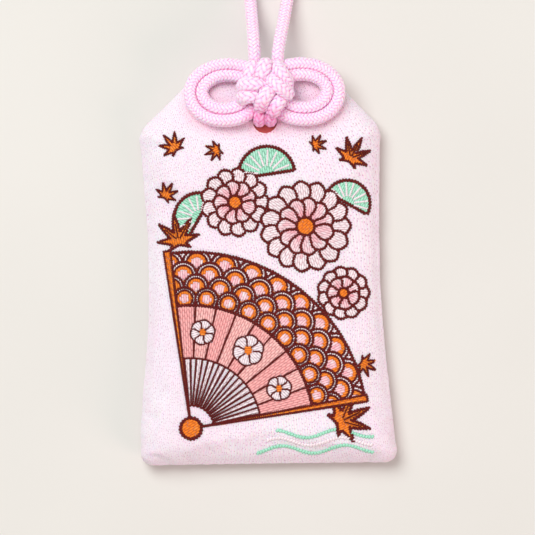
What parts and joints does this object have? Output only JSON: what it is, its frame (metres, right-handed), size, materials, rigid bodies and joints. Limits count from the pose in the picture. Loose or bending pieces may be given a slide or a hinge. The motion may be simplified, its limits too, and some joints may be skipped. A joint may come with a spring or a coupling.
{
  "type": "omamori charm",
  "caption": "Flat padded cloth amulet pouch with sloped shoulders and a sewn-in paper charm, closed by a braided cord tied in a double bow knot with a hanging loop.",
  "frame": {"origin": "under the middle of the pouch, on the surface that its back lies on", "axes": "+X to the pouch's right, +Y along the pouch towards the cord, +Z out of the front"},
  "size_m": [0.0506, 0.1513, 0.0138],
  "materials": {
    "pouch_cloth": "pale lilac-pink woven brocade, matt with a soft sheen",
    "backing_cloth": "brick-red non-woven backing, matt",
    "wadding": "white wadding, matt",
    "card": "plain grey-brown card, matt",
    "wrapping_paper": "white fibrous paper, matt",
    "tablet_wood": "planed pale wood, unfinished",
    "sewing_thread": "pink sewing thread, soft sheen",
    "braided_cord": "pale pink round braided cord, soft sheen"
  },
  "bodies": {
    "pouch": {"front_panel": "pouch_cloth", "back_panel": "pouch_cloth", "front_backing": "backing_cloth", "wadding_pad": "wadding", "stiffener_card": "card", "charm_wrapper": "wrapping_paper", "charm_tablet": "tablet_wood", "seam_thread": "sewing_thread", "mouth_thread": "sewing_thread", "left_tail": "braided_cord", "right_tail": "braided_cord", "stopper_knot": "braided_cord"},
    "knot": {"crown_top_left": "braided_cord", "crown_top_right": "braided_cord", "crown_left_upper": "braided_cord", "crown_left_lower": "braided_cord", "crown_bottom_left": "braided_cord", "crown_bottom_right": "braided_cord", "crown_right_lower": "braided_cord", "crown_right_upper": "braided_cord", "left_bow_outer": "braided_cord", "left_bow_inner": "braided_cord", "right_bow_outer": "braided_cord", "right_bow_inner": "braided_cord"},
    "loop": {"hanging_loop": "braided_cord"}
  },
  "joints": [
    {"name": "knot_lift", "type": "hinge", "parent": "pouch", "child": "knot", "pos_m": [0.0006, 0.0269, 0.0071], "axis": [1, 0, 0], "range_deg": [0, 60]},
    {"name": "loop_swing", "type": "hinge", "parent": "knot", "child": "loop", "pos_m": [0.0006, 0.04131, 0.0088], "axis": [1, 0, 0], "range_deg": [-20, 100]}
  ]
}
